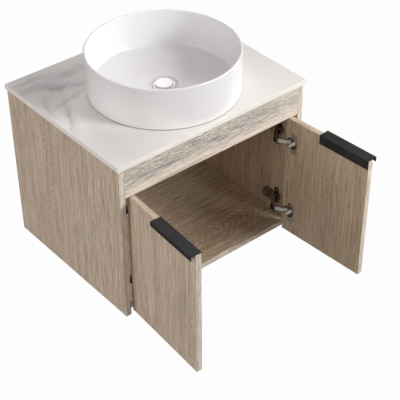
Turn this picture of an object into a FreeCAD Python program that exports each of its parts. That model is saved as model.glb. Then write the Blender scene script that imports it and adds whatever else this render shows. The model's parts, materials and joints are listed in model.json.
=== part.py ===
"""Wall-hung bathroom vanity: an inset two-door cabinet, a stone-look top and a round vessel basin.

Row frame, millimetres: X to the right seen from the front, Y towards the wall, Z up.
The origin lies on the wall plane, midway between the two upper wall screws.
The doors are stored open, as they stand with the cabinet in use.
Hinge places are given across from a side panel's inner face ("in") and back from the top's
front edge ("back"), with the door closed; side is -1 on the left and +1 on the right.
"""
import FreeCAD, Part
import os
import re
import Sketcher
from FreeCAD import Rotation, Vector

SIZES = {
    # top and cabinet
    "slab_width": 600, "slab_depth": 480, "slab_thick": 14, "slab_round": 1, "overhang": 5,
    "panel_thick": 16, "cabinet_height": 455, "cabinet_top": 50,
    "front_rail_height": 85.5, "floor_setback": 19.5,
    "upper_rail_height": 100, "lower_rail_height": 80,
    "wall_screw_spread": 406.4, "wall_screw_hole": 4.5,
    # knock-down fittings
    "dowel_radius": 4, "dowel_length": 30, "dowel_in_side": 10,
    "cam_radius": 7.5, "cam_depth": 12, "cam_inset": 34, "cam_bolt_radius": 3, "cam_bore_overrun": 2,
    "floor_fitting_back": 60, "floor_fitting_step": 90, "front_dowel_offset": 27.5,
    "upper_dowel_offset": 32, "lower_dowel_offset": 21, "fitting_gap": 0.1, "overrun": 1,
    # basin
    "basin_back": 206, "basin_radius": 197.5, "basin_height": 115, "basin_taper": 2,
    "basin_wall": 6, "rim_round": 2.6, "foot_width": 12, "foot_height": 4, "basin_cove": 10,
    "bowl_floor": 12.5, "bowl_fall": 2, "dip_radius": 38, "dip_floor": 8, "boss_radius": 45,
    "seal_thick": 1.5, "seal_inset": 3, "seal_width": 8, "flange_recess": 1.5, "foot_draft": 1,
    # drain
    "drain_hole": 24, "drain_outer": 22, "drain_inner": 18.5, "drain_length": 70,
    "flange_radius": 29, "flange_thick": 1.5, "gasket_radius": 33, "gasket_thick": 3,
    "washer_thick": 2, "lock_nut_flats": 60, "lock_nut_height": 10,
    "tail_radius": 15.9, "tail_wall": 1.3, "tail_end": 170, "tail_collar": 21.5, "tail_neck": 15.5,
    "collar_thick": 1.8, "collar_gap": 0.2, "union_radius": 27, "union_height": 19, "union_lip": 3,
    "union_gap": 0.1,
    "spider_drop": 10, "spider_height": 8, "spider_bar": 8, "spider_boss": 7,
    "cap_radius": 23.5, "cap_thick": 3.4, "cap_lift": 1.1, "cap_round": 1,
    "stem_radius": 4, "stem_end": 30, "stem_foot": 6.5, "foot_thick": 2, "plug_seal": 20.5, "plug_gap": 0.3,
    "running_gap": 0.06,
    # doors
    "door_thick": 16, "door_height": 366, "door_top_gap": 2, "side_gap": 2, "centre_gap": 3,
    "door_open": 93.5, "pivot_in": 12, "pivot_back": 5.5,
    # handles
    "grip_sheet": 1.5, "grip_length": 160, "grip_end": 0.5, "grip_out": 13, "grip_lip": 12,
    "grip_leg": 25, "grip_screw_step": 60, "grip_screw_edge": 20, "grip_screw_drop": 15,
    # hinges
    "hinge_drop": 72, "hinge_step": 225.5, "cup_in": 24.5, "cup_radius": 17.5, "cup_depth": 11.5,
    "cup_lip": 1, "cup_wall": 0.7, "cup_flange": 1, "flange_near": 22, "flange_far": 41, "flange_half": 30,
    "cup_screw_in": 34, "cup_screw_half": 24,
    "front_pivot_in": 43.6, "front_pivot_back": 25.9, "front_knee_in": 25, "front_knee_back": 18.7,
    "front_end_in": 14.4, "front_end_back": 18.3, "front_ratio": 0.3925, "front_half": 5.5,
    "rear_pivot_in": 43, "rear_pivot_back": 34.5, "rear_knee_in": 16.6, "rear_knee_back": 12.5,
    "rear_end_in": 12, "rear_end_back": 17.4, "rear_ratio": 0.3026, "rear_low": 5.9,
    "rear_high": 8, "link_thick": 1.4, "link_eye": 2.6, "pin_radius": 1.5, "pin_gap": 0.05,
    "arm_low": 8.3, "arm_high": 9.5, "arm_web": 1.2, "arm_rise": 18, "arm_base": 4,
    "arm_rear": 108, "arm_bend": 66, "arm_nose": 47.5, "arm_shoulder": 43, "arm_tip": 22.9,
    "nose_depth": 9, "nose_chamfer": 2.5, "crank_inner": 6, "crank_front": 16, "nose_rear": 10,
    "web_slope": 0.7, "web_end": 3,
    "plate_thick": 2, "plate_half": 7.5, "plate_front": 52, "plate_rear": 112, "plate_rise": 10,
    "wing_front": 60, "wing_rear": 76, "wing_half": 25, "wing_screw_half": 16,
    "screw_radius": 1.75, "screw_head": 3.5, "screw_head_thick": 1.4, "screw_length": 11,
    "adjuster_front": 72, "adjuster_rear": 98, "adjuster_radius": 2, "adjuster_head": 3.4,
    "adjuster_thick": 2, "adjuster_gap": 0.3,
}

# Derived places, in the row frame.
HALF = "(slab_width / 2 - overhang)"
CAVITY = "(slab_width / 2 - overhang - panel_thick)"
FRONT = "(overhang - slab_depth)"
RAIL_BACK = "(overhang - slab_depth + panel_thick)"
SLAB_TOP = "(cabinet_top + slab_thick)"
CABINET_BOTTOM = "(cabinet_top - cabinet_height)"
FLOOR_TOP = "(cabinet_top - cabinet_height + panel_thick)"
FLOOR_FRONT = "(overhang - slab_depth + floor_setback)"
FLOOR_MIDDLE = "(cabinet_top - cabinet_height + panel_thick / 2)"
RAIL_BOTTOM = "(cabinet_top - front_rail_height)"
DOOR_TOP = "(cabinet_top - front_rail_height - door_top_gap)"
BASIN_Y = "(basin_back - slab_depth)"
SIDES = {"left": -1, "right": 1}
HINGES = {"upper": "hinge_drop", "lower": "(hinge_drop + hinge_step)"}

document = FreeCAD.newDocument("vanity")
sheet = document.addObject("Spreadsheet::Sheet", "sizes")
for row, (alias, value) in enumerate(SIZES.items(), start=1):
    sheet.set(f"A{row}", alias)
    sheet.set(f"B{row}", str(value))
    sheet.setAlias(f"B{row}", alias)
document.recompute()
sub_parts = {}


def bind(item, prop, expression):
    """Tie a property to the sheet; a bare word in the expression is one of its aliases."""
    text = re.sub(r"[a-z_]+", lambda w: f"sizes.{w[0]}" if w[0] in SIZES else w[0], str(expression))
    item.setExpression(prop, text)


def put(item, x, y, z):
    """Bind an object's place."""
    for axis, expression in zip("xyz", (x, y, z)):
        bind(item, f"Placement.Base.{axis}", expression)
    return item


def name_part(item, label):
    """Name a finished sub-part; the name is also its file's name."""
    item.Label = label
    sub_parts[label] = item
    return item


def box(x, y, z):
    """A block between low and high expressions on each axis."""
    item = document.addObject("Part::Box", "block")
    for prop, (low, high) in zip(("Length", "Width", "Height"), (x, y, z)):
        bind(item, prop, f"({high}) - ({low})")
    return put(item, x[0], y[0], z[0])


def rod(direction, radius, length, x, y, z):
    """A cylinder that starts at a point and runs along a direction."""
    item = document.addObject("Part::Cylinder", "rod")
    bind(item, "Radius", radius)
    bind(item, "Height", length)
    item.Placement.Rotation = Rotation(Vector(0, 0, 1), Vector(*direction))
    return put(item, x, y, z)


def cut(base, *tools):
    """Take tools, which don't touch each other, from a base."""
    item = document.addObject("Part::Cut", "cut")
    item.Base = base
    item.Tool = tools[0] if len(tools) == 1 else group(*tools)
    return item


def fuse(*items):
    """Join items into one solid."""
    item = document.addObject("Part::MultiFuse", "joined")
    item.Shapes = list(items)
    return item


def group(*items):
    """Keep identical pieces together as separate solids."""
    item = document.addObject("Part::Compound", "group")
    item.Links = list(items)
    return item


def turn_about(item, x, y, angle):
    """Turn a finished piece about a vertical line, by an angle in degrees."""
    turn = f"({angle}) * 1 deg"
    bind(item, "Placement.Rotation.Angle", angle)
    bind(item, "Placement.Base.x", f"{x} * (1 - cos({turn})) + {y} * sin({turn})")
    bind(item, "Placement.Base.y", f"{y} * (1 - cos({turn})) - {x} * sin({turn})")
    return item


def profile(label, plane, points):
    """A body with one closed outline of straight lines on one of its own planes."""
    body = document.addObject("PartDesign::Body", label)
    sketch = body.newObject("Sketcher::SketchObject", f"{label}_outline")
    origin = [f for f in body.Origin.OriginFeatures if f.Role == plane]
    sketch.AttachmentSupport = [(origin[0], "")]
    sketch.MapMode = "FlatFace"
    count = len(points)
    start = [Vector(10 * index, 3 * index * (count - index), 0) for index in range(count)]
    for index in range(count):
        sketch.addGeometry(Part.LineSegment(start[index], start[(index + 1) % count]), False)
    for index in range(count):
        sketch.addConstraint(Sketcher.Constraint("Coincident", index, 2, (index + 1) % count, 1))
    for index, point in enumerate(points):
        for kind, expression in zip(("DistanceX", "DistanceY"), point):
            value = number(expression)
            number_of = sketch.addConstraint(Sketcher.Constraint(kind, -1, 1, index, 1, value))
            bind(sketch, f"Constraints[{number_of}]", expression)
    return body, sketch


def number(expression):
    """The value that an expression has now, used to start a sketch off solved."""
    item = document.addObject("App::FeaturePython", "reading")
    item.addProperty("App::PropertyFloat", "Value")
    bind(item, "Value", expression)
    item.recompute()
    value = item.Value
    document.removeObject(item.Name)
    return value


def pad(body, sketch, start, length):
    """Extrude an outline from a height above its plane."""
    bind(sketch, "AttachmentOffset.Base.z", start)
    item = body.newObject("PartDesign::Pad", f"{body.Name}_pad")
    item.Profile = sketch
    bind(item, "Length", length)
    document.recompute()
    return item


def revolve(body, sketch):
    """Turn an outline of radius and height fully round the vertical axis."""
    item = body.newObject("PartDesign::Revolution", f"{body.Name}_turned")
    item.Profile = sketch
    item.ReferenceAxis = (sketch, ["V_Axis"])
    item.Angle = 360
    document.recompute()
    return item


def round_edges(body, feature, radius, wanted):
    """Round the edges that a test picks."""
    names = [f"Edge{i}" for i, edge in enumerate(feature.Shape.Edges, start=1) if wanted(edge)]
    item = body.newObject("PartDesign::Fillet", f"{body.Name}_round")
    item.Base = (feature, names)
    bind(item, "Radius", radius)
    document.recompute()
    return item


def ring_edge(radius, height):
    """A test for the round edge of a given radius at a given height."""
    def wanted(edge):
        circle = isinstance(edge.Curve, Part.Circle)
        return circle and abs(edge.Curve.Radius - radius) < 0.01 and abs(edge.Curve.Center.z - height) < 0.01
    return wanted


# ---------------------------------------------------------------- cabinet

def floor_place(index):
    """A place in the row of fittings through the bottom panel's edge, counted from the wall."""
    return f"(-floor_fitting_back - {index} * floor_fitting_step)", FLOOR_MIDDLE


def upright_fittings(y, z, offset, face):
    """The fittings of an upright panel: a cam in the middle, with a dowel above and below it."""
    return {"dowels": [(y, f"({z} + {end} * {offset})") for end in (1, -1)], "cams": [(y, z)], "face": face}


# The dowels and cams of each panel that butts against the sides, as (y, z) places in the middle of
# its thickness, and the direction that its cams are let in from.
RAIL_MIDDLE = "(-panel_thick / 2)"
PANEL_FITTINGS = {
    "bottom_panel": {"dowels": [floor_place(index) for index in (4, 2, 0)],
                     "cams": [floor_place(index) for index in (3, 1)], "face": (0, 0, 1)},
    "front_rail": upright_fittings(f"({FRONT} + panel_thick / 2)", "(cabinet_top - front_rail_height / 2)",
                                   "front_dowel_offset", (0, -1, 0)),
    "upper_back_rail": upright_fittings(RAIL_MIDDLE, "(cabinet_top - upper_rail_height / 2)",
                                        "upper_dowel_offset", (0, 1, 0)),
    "lower_back_rail": upright_fittings(RAIL_MIDDLE, f"({FLOOR_TOP} + lower_rail_height / 2)",
                                        "lower_dowel_offset", (0, 1, 0)),
}


def dowel(side, y, z, gap="0"):
    """A dowel across the joint between a side panel and another, or its bore."""
    reach = f"({CAVITY} + dowel_in_side + {gap})"
    length = f"dowel_length + 2 * {gap}"
    return rod((-side, 0, 0), f"dowel_radius + {gap}", length, f"{side} * {reach}", y, z)


def cam_bolt(side, y, z, gap="0", overrun="-fitting_gap"):
    """The bolt from a side panel to a cam, or its bore, which runs on into the cam's pocket."""
    reach = f"({CAVITY} + dowel_in_side + {gap})"
    length = f"dowel_in_side + cam_inset - cam_radius + {overrun}"
    return rod((-side, 0, 0), f"cam_bolt_radius + {gap}", length, f"{side} * {reach}", y, z)


def cam(side, y, z, face, gap="0"):
    """A cam let into a panel's hidden face, or its pocket."""
    _, face_y, face_z = face
    x = f"{side} * ({CAVITY} - cam_inset)"
    start_y = f"{y} - {face_y} * panel_thick / 2"
    start_z = f"{z} - {face_z} * panel_thick / 2"
    return rod(face, f"cam_radius + {gap}", f"cam_depth + {gap}", x, start_y, start_z)


def fitting_bores(panel):
    """Every bore in a panel's two ends. A cam's pocket and its bolt's bore join up."""
    fittings = PANEL_FITTINGS[panel]
    bores = []
    for side in SIDES.values():
        bores += [dowel(side, y, z, "fitting_gap") for y, z in fittings["dowels"]]
        for y, z in fittings["cams"]:
            pocket = cam(side, y, z, fittings["face"], "fitting_gap")
            bores.append(fuse(pocket, cam_bolt(side, y, z, "fitting_gap", "cam_bore_overrun")))
    return bores


def butted_panel(label, y, z, extra=()):
    """A panel between the sides, with its bores."""
    blank = box((f"-{CAVITY}", CAVITY), y, z)
    name_part(cut(blank, *fitting_bores(label), *extra), label)


def wall_holes(z):
    """The two screw holes through a back rail."""
    return [rod((0, 1, 0), "wall_screw_hole", "panel_thick + 2 * overrun",
                f"{side} * wall_screw_spread / 2", "-panel_thick - overrun", z) for side in SIDES.values()]


def hinge_height(hinge):
    """The height of a hinge's middle."""
    return f"({DOOR_TOP} - {HINGES[hinge]})"


def across(side, inward):
    """X of a place given inward from a side panel's inner face."""
    return f"({side} * ({CAVITY} - ({inward})))"


def behind(back):
    """Y of a place given back from the top's front edge."""
    return f"(({back}) - slab_depth)"


def side_panel(name, side):
    """A side panel, bored for dowels, cam bolts and hinge plate screws."""
    bores = []
    for fittings in PANEL_FITTINGS.values():
        bores += [dowel(side, y, z, "fitting_gap") for y, z in fittings["dowels"]]
        bores += [cam_bolt(side, y, z, "fitting_gap") for y, z in fittings["cams"]]
    bores += [plate_screw_shank(side, hinge, up, "fitting_gap") for hinge in HINGES for up in (-1, 1)]
    x = (CAVITY, HALF) if side > 0 else (f"-{HALF}", f"-{CAVITY}")
    blank = box(x, (FRONT, "0"), (CABINET_BOTTOM, "cabinet_top"))
    name_part(cut(blank, *bores), f"{name}_side_panel")


def cabinet():
    """The carcass and its knock-down fittings."""
    for name, side in SIDES.items():
        side_panel(name, side)
    butted_panel("bottom_panel", (FLOOR_FRONT, "0"), (CABINET_BOTTOM, FLOOR_TOP))
    butted_panel("front_rail", (FRONT, RAIL_BACK), (RAIL_BOTTOM, "cabinet_top"))
    rail_y = ("-panel_thick", "0")
    butted_panel("upper_back_rail", rail_y, ("cabinet_top - upper_rail_height", "cabinet_top"),
                 wall_holes("0"))
    lower_z = (FLOOR_TOP, f"{FLOOR_TOP} + lower_rail_height")
    butted_panel("lower_back_rail", rail_y, lower_z, wall_holes(f"{FLOOR_TOP} + lower_rail_height / 2"))
    rows = [(side, kind) for side in SIDES.values() for kind in PANEL_FITTINGS.values()]
    name_part(group(*[dowel(side, y, z) for side, kind in rows for y, z in kind["dowels"]]), "dowels")
    name_part(group(*[cam_bolt(side, y, z) for side, kind in rows for y, z in kind["cams"]]), "cam_bolts")
    name_part(group(*[cam(side, y, z, kind["face"]) for side, kind in rows for y, z in kind["cams"]]),
              "cam_locks")


def countertop():
    """The slab, with the drain's hole and a small round along its upper edges."""
    half = "slab_width / 2"
    corners = [(f"-{half}", "-slab_depth"), (half, "-slab_depth"), (half, "0"), (f"-{half}", "0")]
    body, outline = profile("slab", "XY_Plane", corners)
    plate = pad(body, outline, "cabinet_top", "slab_thick")
    top = SIZES["cabinet_top"] + SIZES["slab_thick"]
    round_edges(body, plate, "slab_round", lambda edge: edge.BoundBox.ZMin > top - 0.01)
    hole = rod((0, 0, 1), "drain_hole", "slab_thick + 2 * overrun", "0", BASIN_Y, "cabinet_top - overrun")
    name_part(cut(body, hole), "countertop")


# ---------------------------------------------------------------- basin and drain

def turned(label, points, rounds=()):
    """A piece turned about the basin's axis, from (radius, height above the slab) corners."""
    body, outline = profile(label, "XZ_Plane", points)
    feature = revolve(body, outline)
    for radius, edge_radius, edge_height in rounds:
        feature = round_edges(body, feature, radius, ring_edge(edge_radius, edge_height))
    put(body, "0", BASIN_Y, SLAB_TOP)
    return name_part(body, label)


def tube(label, inner, outer, low, high):
    """A plain ring or washer about the basin's axis."""
    return turned(label, [(inner, low), (outer, low), (outer, high), (inner, high)])


def basin():
    """The straight-walled bowl: a coved floor that falls to a dip round the drain."""
    rim = "basin_height"
    lip_inner = "(basin_radius - basin_wall)"
    wall_foot = "(basin_radius - basin_wall - basin_taper)"
    floor_edge = "(bowl_floor + bowl_fall)"
    recess = "(seal_thick + foot_height)"
    foot_inner = "(basin_radius - basin_taper - foot_width)"
    points = [
        ("drain_hole", "dip_floor"), ("flange_radius + flange_recess", "dip_floor"),
        ("dip_radius", "bowl_floor"),
        (wall_foot, floor_edge), (lip_inner, rim), ("basin_radius", rim),
        ("basin_radius - basin_taper", "seal_thick"), (foot_inner, "seal_thick"),
        (f"{foot_inner} - foot_draft", recess), ("boss_radius + foot_draft", recess),
        ("boss_radius", "seal_thick"), ("drain_hole", "seal_thick"),
    ]
    inner = SIZES["basin_radius"] - SIZES["basin_wall"]
    rounds = [
        ("basin_cove", inner - SIZES["basin_taper"], SIZES["bowl_floor"] + SIZES["bowl_fall"]),
        ("rim_round", SIZES["basin_radius"], SIZES["basin_height"]),
        ("rim_round", inner, SIZES["basin_height"]),
    ]
    turned("vessel_basin", points, rounds)
    outer = "basin_radius - basin_taper - seal_inset"
    rings = []
    for low, high in ((f"{outer} - seal_width", outer), ("drain_hole", "boss_radius - seal_inset")):
        disc = rod((0, 0, 1), high, "seal_thick", "0", BASIN_Y, SLAB_TOP)
        rings.append(cut(disc, rod((0, 0, 1), low, "seal_thick", "0", BASIN_Y, SLAB_TOP)))
    name_part(group(*rings), "basin_seals")


def below(depth):
    """Z of a place under the slab's upper face."""
    return f"({SLAB_TOP} - ({depth}))"


def drain():
    """The drain, from its flange in the bowl to the tailpiece for the trap."""
    seat = "(dip_floor + flange_thick)"
    shell = [("drain_inner", "-drain_length"), ("drain_outer", "-drain_length"),
             ("drain_outer", "dip_floor"), ("flange_radius", "dip_floor"),
             ("flange_radius", seat), ("drain_inner", seat)]
    body, outline = profile("drain_shell", "XZ_Plane", shell)
    revolve(body, outline)
    put(body, "0", BASIN_Y, SLAB_TOP)
    low = below("spider_drop + spider_height")
    bar = box(("-drain_inner - overrun", "drain_inner + overrun"),
              (f"{BASIN_Y} - spider_bar / 2", f"{BASIN_Y} + spider_bar / 2"), (low, below("spider_drop")))
    boss = rod((0, 0, 1), "spider_boss", "spider_height", "0", BASIN_Y, low)
    bore = rod((0, 0, 1), "stem_radius + running_gap", "spider_height", "0", BASIN_Y, low)
    name_part(cut(fuse(body, bar, boss), bore), "drain_body")
    gasket_low = "(-slab_thick - gasket_thick)"
    washer_low = f"({gasket_low} - washer_thick)"
    tube("drain_gasket", "drain_outer + pin_gap", "gasket_radius", gasket_low, "-slab_thick")
    tube("drain_washer", "drain_outer + pin_gap", "gasket_radius", washer_low, gasket_low)
    nut = document.addObject("Part::Prism", "hexagon")
    nut.Polygon = 6
    bind(nut, "Circumradius", "lock_nut_flats / 2 / cos(30 deg)")
    bind(nut, "Height", "lock_nut_height")
    nut_low = "slab_thick + gasket_thick + washer_thick + lock_nut_height"
    put(nut, "0", BASIN_Y, below(nut_low))
    thread = rod((0, 0, 1), "drain_outer + pin_gap", "lock_nut_height", "0", BASIN_Y, below(nut_low))
    name_part(cut(nut, thread), "drain_lock_nut")
    collar_top = "(-drain_length - collar_gap)"
    collar_low = f"({collar_top} - collar_thick)"
    union_low = f"({collar_low} - union_lip)"
    union_top = f"({union_low} + union_height)"
    seat_low = f"({collar_low} - pin_gap)"
    neck_low = f"({union_low} - union_lip)"
    bore = "tail_radius - tail_wall"
    turned("tailpiece", [(bore, "-tail_end"), ("tail_radius", "-tail_end"), ("tail_radius", neck_low),
                         ("tail_neck", neck_low), ("tail_neck", collar_low), ("tail_collar", collar_low),
                         ("tail_collar", collar_top), (bore, collar_top)])
    turned("tailpiece_nut", [("tail_radius + union_gap", union_low), ("union_radius", union_low),
                             ("union_radius", union_top), ("drain_outer + pin_gap", union_top),
                             ("drain_outer + pin_gap", seat_low), ("tail_radius + union_gap", seat_low)])


def plug():
    """The pop-up plug: a glazed cap, its seal and the stem that slides in the drain's spider."""
    low = "(dip_floor + flange_thick + cap_lift)"
    high = f"({low} + cap_thick)"
    cap_top = SIZES["dip_floor"] + SIZES["flange_thick"] + SIZES["cap_lift"] + SIZES["cap_thick"]
    corners = [("0", low), ("cap_radius", low), ("cap_radius", high), ("0", high)]
    turned("plug_cap", corners, [("cap_round", SIZES["cap_radius"], cap_top)])
    tube("plug_seal", "stem_radius + pin_gap", "plug_seal", f"{low} - cap_lift + plug_gap", low)
    turned("plug_stem", [("0", "-stem_end - foot_thick"), ("stem_foot", "-stem_end - foot_thick"),
                         ("stem_foot", "-stem_end"), ("stem_radius", "-stem_end"), ("stem_radius", low),
                         ("0", low)])


# ---------------------------------------------------------------- doors

def open_door(item, side):
    """Turn a piece of a door from closed to its stored, open place."""
    return turn_about(item, across(side, "pivot_in"), behind("pivot_back"), f"{side} * door_open")


def ordered(side, near, far):
    """Low and high X of two places given inward from a side panel."""
    return (across(side, far), across(side, near)) if side > 0 else (across(side, near), across(side, far))


def door(name, side):
    """A door, bored for its hinge cups and its screws."""
    inner = behind("overhang + door_thick")
    free_edge = f"({CAVITY} - centre_gap / 2)"
    blank = box(ordered(side, "side_gap", free_edge), (FRONT, inner),
                (f"{DOOR_TOP} - door_height", DOOR_TOP))
    bores = [rod((0, -1, 0), "cup_radius + fitting_gap", "cup_depth + fitting_gap",
                 across(side, "cup_in"), inner, hinge_height(hinge)) for hinge in HINGES]
    bores += [cup_screw_shank(side, hinge, up, "fitting_gap") for hinge in HINGES for up in (-1, 1)]
    bores += [handle_screw_shank(side, index, "fitting_gap") for index in range(3)]
    open_door(name_part(cut(blank, *bores), f"{name}_door"), side)


def handle(name, side):
    """A folded sheet over the door's top edge: inner leg, top and turned-down front lip."""
    front = behind("overhang - grip_out")
    front_in = f"({front} + grip_sheet)"
    back_in = behind("overhang + door_thick")
    back = f"({back_in} + grip_sheet)"
    top = f"({DOOR_TOP} + grip_sheet)"
    outline = [(front, top), (front, f"{DOOR_TOP} - grip_lip"), (front_in, f"{DOOR_TOP} - grip_lip"),
               (front_in, DOOR_TOP), (back_in, DOOR_TOP), (back_in, f"{DOOR_TOP} - grip_leg"),
               (back, f"{DOOR_TOP} - grip_leg"), (back, top)]
    body, sketch = profile(f"{name}_grip", "YZ_Plane", outline)
    end = f"({CAVITY} - centre_gap / 2 - grip_end)"
    start = ordered(side, f"{end} - grip_length", end)[0]
    pad(body, sketch, start, "grip_length")
    holes = [handle_screw_shank(side, index, "fitting_gap") for index in range(3)]
    open_door(name_part(cut(body, *holes), f"{name}_handle"), side)
    screws = [fuse(handle_screw_shank(side, index), handle_screw_head(side, index)) for index in range(3)]
    open_door(name_part(group(*screws), f"{name}_handle_screws"), side)


def handle_screw_place(side, index):
    """The middle of a handle screw, as X and Z."""
    end = f"({CAVITY} - centre_gap / 2 - grip_end)"
    inward = f"{end} - grip_screw_edge - {index} * grip_screw_step"
    return across(side, inward), f"({DOOR_TOP} - grip_screw_drop)"


def handle_screw_shank(side, index, gap="0"):
    """A handle screw's shank, or its hole."""
    x, z = handle_screw_place(side, index)
    start = behind("overhang + door_thick + grip_sheet")
    length = f"screw_length + {gap}"
    return rod((0, -1, 0), f"screw_radius + {gap}", length, x, start, z)


def handle_screw_head(side, index):
    """A handle screw's head, on the handle's inner leg."""
    x, z = handle_screw_place(side, index)
    start = behind("overhang + door_thick + grip_sheet")
    return rod((0, 1, 0), "screw_head", "screw_head_thick", x, start, z)


# ---------------------------------------------------------------- hinges

def cup_screw_place(side, hinge, up):
    """The middle of a cup screw, as X and Z."""
    return across(side, "cup_screw_in"), f"({hinge_height(hinge)} + {up} * cup_screw_half)"


def cup_screw_shank(side, hinge, up, gap="0"):
    """A cup screw's shank, or its hole."""
    x, z = cup_screw_place(side, hinge, up)
    start = behind("overhang + door_thick + cup_flange")
    return rod((0, -1, 0), f"screw_radius + {gap}", f"screw_length + {gap}", x, start, z)


def cup_screw(side, hinge, up):
    """A cup screw."""
    x, z = cup_screw_place(side, hinge, up)
    start = behind("overhang + door_thick + cup_flange")
    head = rod((0, 1, 0), "screw_head", "screw_head_thick", x, start, z)
    return fuse(cup_screw_shank(side, hinge, up), head)


def hinge_cup(name, side, hinge):
    """The cup let into the door, with the flange that lies on the door's inner face."""
    x = across(side, "cup_in")
    z = hinge_height(hinge)
    mouth = behind("overhang + door_thick")
    top = behind("overhang + door_thick + cup_flange")
    can = rod((0, -1, 0), "cup_radius", "cup_depth", x, mouth, z)
    lip = rod((0, 1, 0), "cup_radius + cup_lip", "cup_flange", x, mouth, z)
    wings = box(ordered(side, "flange_near", "flange_far"), (mouth, top),
                (f"{z} - flange_half", f"{z} + flange_half"))
    hollow = rod((0, -1, 0), "cup_radius - cup_wall", "cup_depth + cup_flange - cup_wall", x, top, z)
    holes = [cup_screw_shank(side, hinge, up, "fitting_gap") for up in (-1, 1)]
    cup = cut(cut(fuse(can, lip, wings), hollow), *holes)
    open_door(name_part(cup, f"{name}_{hinge}_hinge_cup"), side)


def plate_screw_place(hinge, up):
    """The middle of a hinge plate screw, as Y and Z."""
    return behind("(wing_front + wing_rear) / 2"), f"({hinge_height(hinge)} + {up} * wing_screw_half)"


def plate_screw_shank(side, hinge, up, gap="0"):
    """A hinge plate screw's shank, or its hole."""
    y, z = plate_screw_place(hinge, up)
    return rod((side, 0, 0), f"screw_radius + {gap}", f"screw_length + {gap}", across(side, "plate_thick"),
               y, z)


def plate_screw(side, hinge, up):
    """A hinge plate screw."""
    y, z = plate_screw_place(hinge, up)
    head = rod((-side, 0, 0), "screw_head", "screw_head_thick", across(side, "plate_thick"), y, z)
    return fuse(plate_screw_shank(side, hinge, up), head)


def mounting_plate(name, side, hinge):
    """The cross-shaped plate on the side panel that the arm clips on."""
    z = hinge_height(hinge)
    wings = box(ordered(side, "0", "plate_thick"), (behind("wing_front"), behind("wing_rear")),
                (f"{z} - wing_half", f"{z} + wing_half"))
    ridge = box(ordered(side, "0", "plate_rise"), (behind("plate_front"), behind("plate_rear")),
                (f"{z} - plate_half", f"{z} + plate_half"))
    holes = [plate_screw_shank(side, hinge, up, "fitting_gap") for up in (-1, 1)]
    name_part(cut(fuse(wings, ridge), *holes), f"{name}_{hinge}_mounting_plate")


def arm_outline(side):
    """The arm seen from above: low over the plate, then cranked out to the links' pivots."""
    places = [
        ("arm_base", "arm_rear"), ("arm_rise", "arm_rear"), ("arm_rise", "arm_bend"),
        ("arm_nose", "arm_shoulder"), ("arm_nose", "arm_tip + nose_chamfer"),
        ("arm_nose - nose_chamfer", "arm_tip"), ("arm_nose - nose_depth + nose_chamfer", "arm_tip"),
        ("arm_nose - nose_depth", "arm_tip + nose_chamfer"),
        ("arm_nose - nose_depth", "arm_shoulder - nose_rear"),
        ("arm_rise + crank_inner", "arm_bend - crank_front"), ("arm_base", "arm_bend - crank_inner"),
    ]
    return [(across(side, inward), behind(back)) for inward, back in places]


def adjuster(side, hinge, back, gap="0"):
    """The shank of one of the arm's two screws, or its hole in the arm."""
    length = "arm_rise - plate_rise - adjuster_gap"
    return rod((side, 0, 0), f"adjuster_radius + {gap}", length, across(side, "arm_rise"), behind(back),
               hinge_height(hinge))


def hinge_arm(name, side, hinge):
    """A U-shaped channel: two cheeks, and a web on the side away from the panel."""
    z = hinge_height(hinge)
    body, sketch = profile(f"{name}_{hinge}_arm", "XY_Plane", arm_outline(side))
    pad(body, sketch, f"{z} - arm_high", "2 * arm_high")
    inside = [
        ("arm_base - overrun", "arm_rear + overrun"), ("arm_rise - arm_web", "arm_rear + overrun"),
        ("arm_rise - arm_web", "arm_bend - web_slope"), ("arm_nose - arm_web", "arm_shoulder - web_slope"),
        ("arm_nose - arm_web", "arm_shoulder - web_end"), ("arm_nose + overrun", "arm_shoulder - web_end"),
        ("arm_nose + overrun", "arm_tip - overrun"), ("arm_base - overrun", "arm_tip - overrun"),
    ]
    outline = [(across(side, inward), behind(back)) for inward, back in inside]
    hollow, hollow_sketch = profile(f"{name}_{hinge}_hollow", "XY_Plane", outline)
    pad(hollow, hollow_sketch, f"{z} - arm_low", "2 * arm_low")
    bores = [rod((0, 0, 1), "pin_radius", "2 * (arm_high + overrun)", across(side, f"{link}_pivot_in"),
                 behind(f"{link}_pivot_back"), f"{z} - arm_high - overrun") for link in ("front", "rear")]
    holes = [adjuster(side, hinge, back, "fitting_gap") for back in ("adjuster_front", "adjuster_rear")]
    name_part(cut(cut(body, hollow), *bores, *holes), f"{name}_{hinge}_hinge_arm")


def strip(start, end, half_low, half_high):
    """A flat strip on edge between two (x, y) places, in the height span given."""
    item = document.addObject("Part::Box", "strip")
    run_x = f"({end[0]} - {start[0]})"
    run_y = f"({end[1]} - {start[1]})"
    length = f"sqrt({run_x} * {run_x} + {run_y} * {run_y})"
    bind(item, "Length", length)
    bind(item, "Width", "link_thick")
    bind(item, "Height", f"({half_high}) - ({half_low})")
    bind(item, "Placement.Rotation.Angle", f"atan2({run_y}; {run_x})")
    return put(item, f"{start[0]} + link_thick / 2 * {run_y} / {length}",
               f"{start[1]} - link_thick / 2 * {run_x} / {length}", half_low)


def link_path(side, link):
    """A link's pivot, knee and end, as (x, y) places with the door closed."""
    return [(across(side, f"{link}_{place}_in"), behind(f"{link}_{place}_back"))
            for place in ("pivot", "knee", "end")]


def bent_strip(side, link, low, high, end_radius):
    """A link's strip from pivot to knee to end, with a round bend and a round end."""
    pivot, knee, end = link_path(side, link)
    tall = f"({high}) - ({low})"
    bend = rod((0, 0, 1), "link_thick / 2", tall, *knee, low)
    tip = rod((0, 0, 1), end_radius, tall, *end, low)
    return [strip(pivot, knee, low, high), strip(knee, end, low, high), bend, tip]


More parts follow.
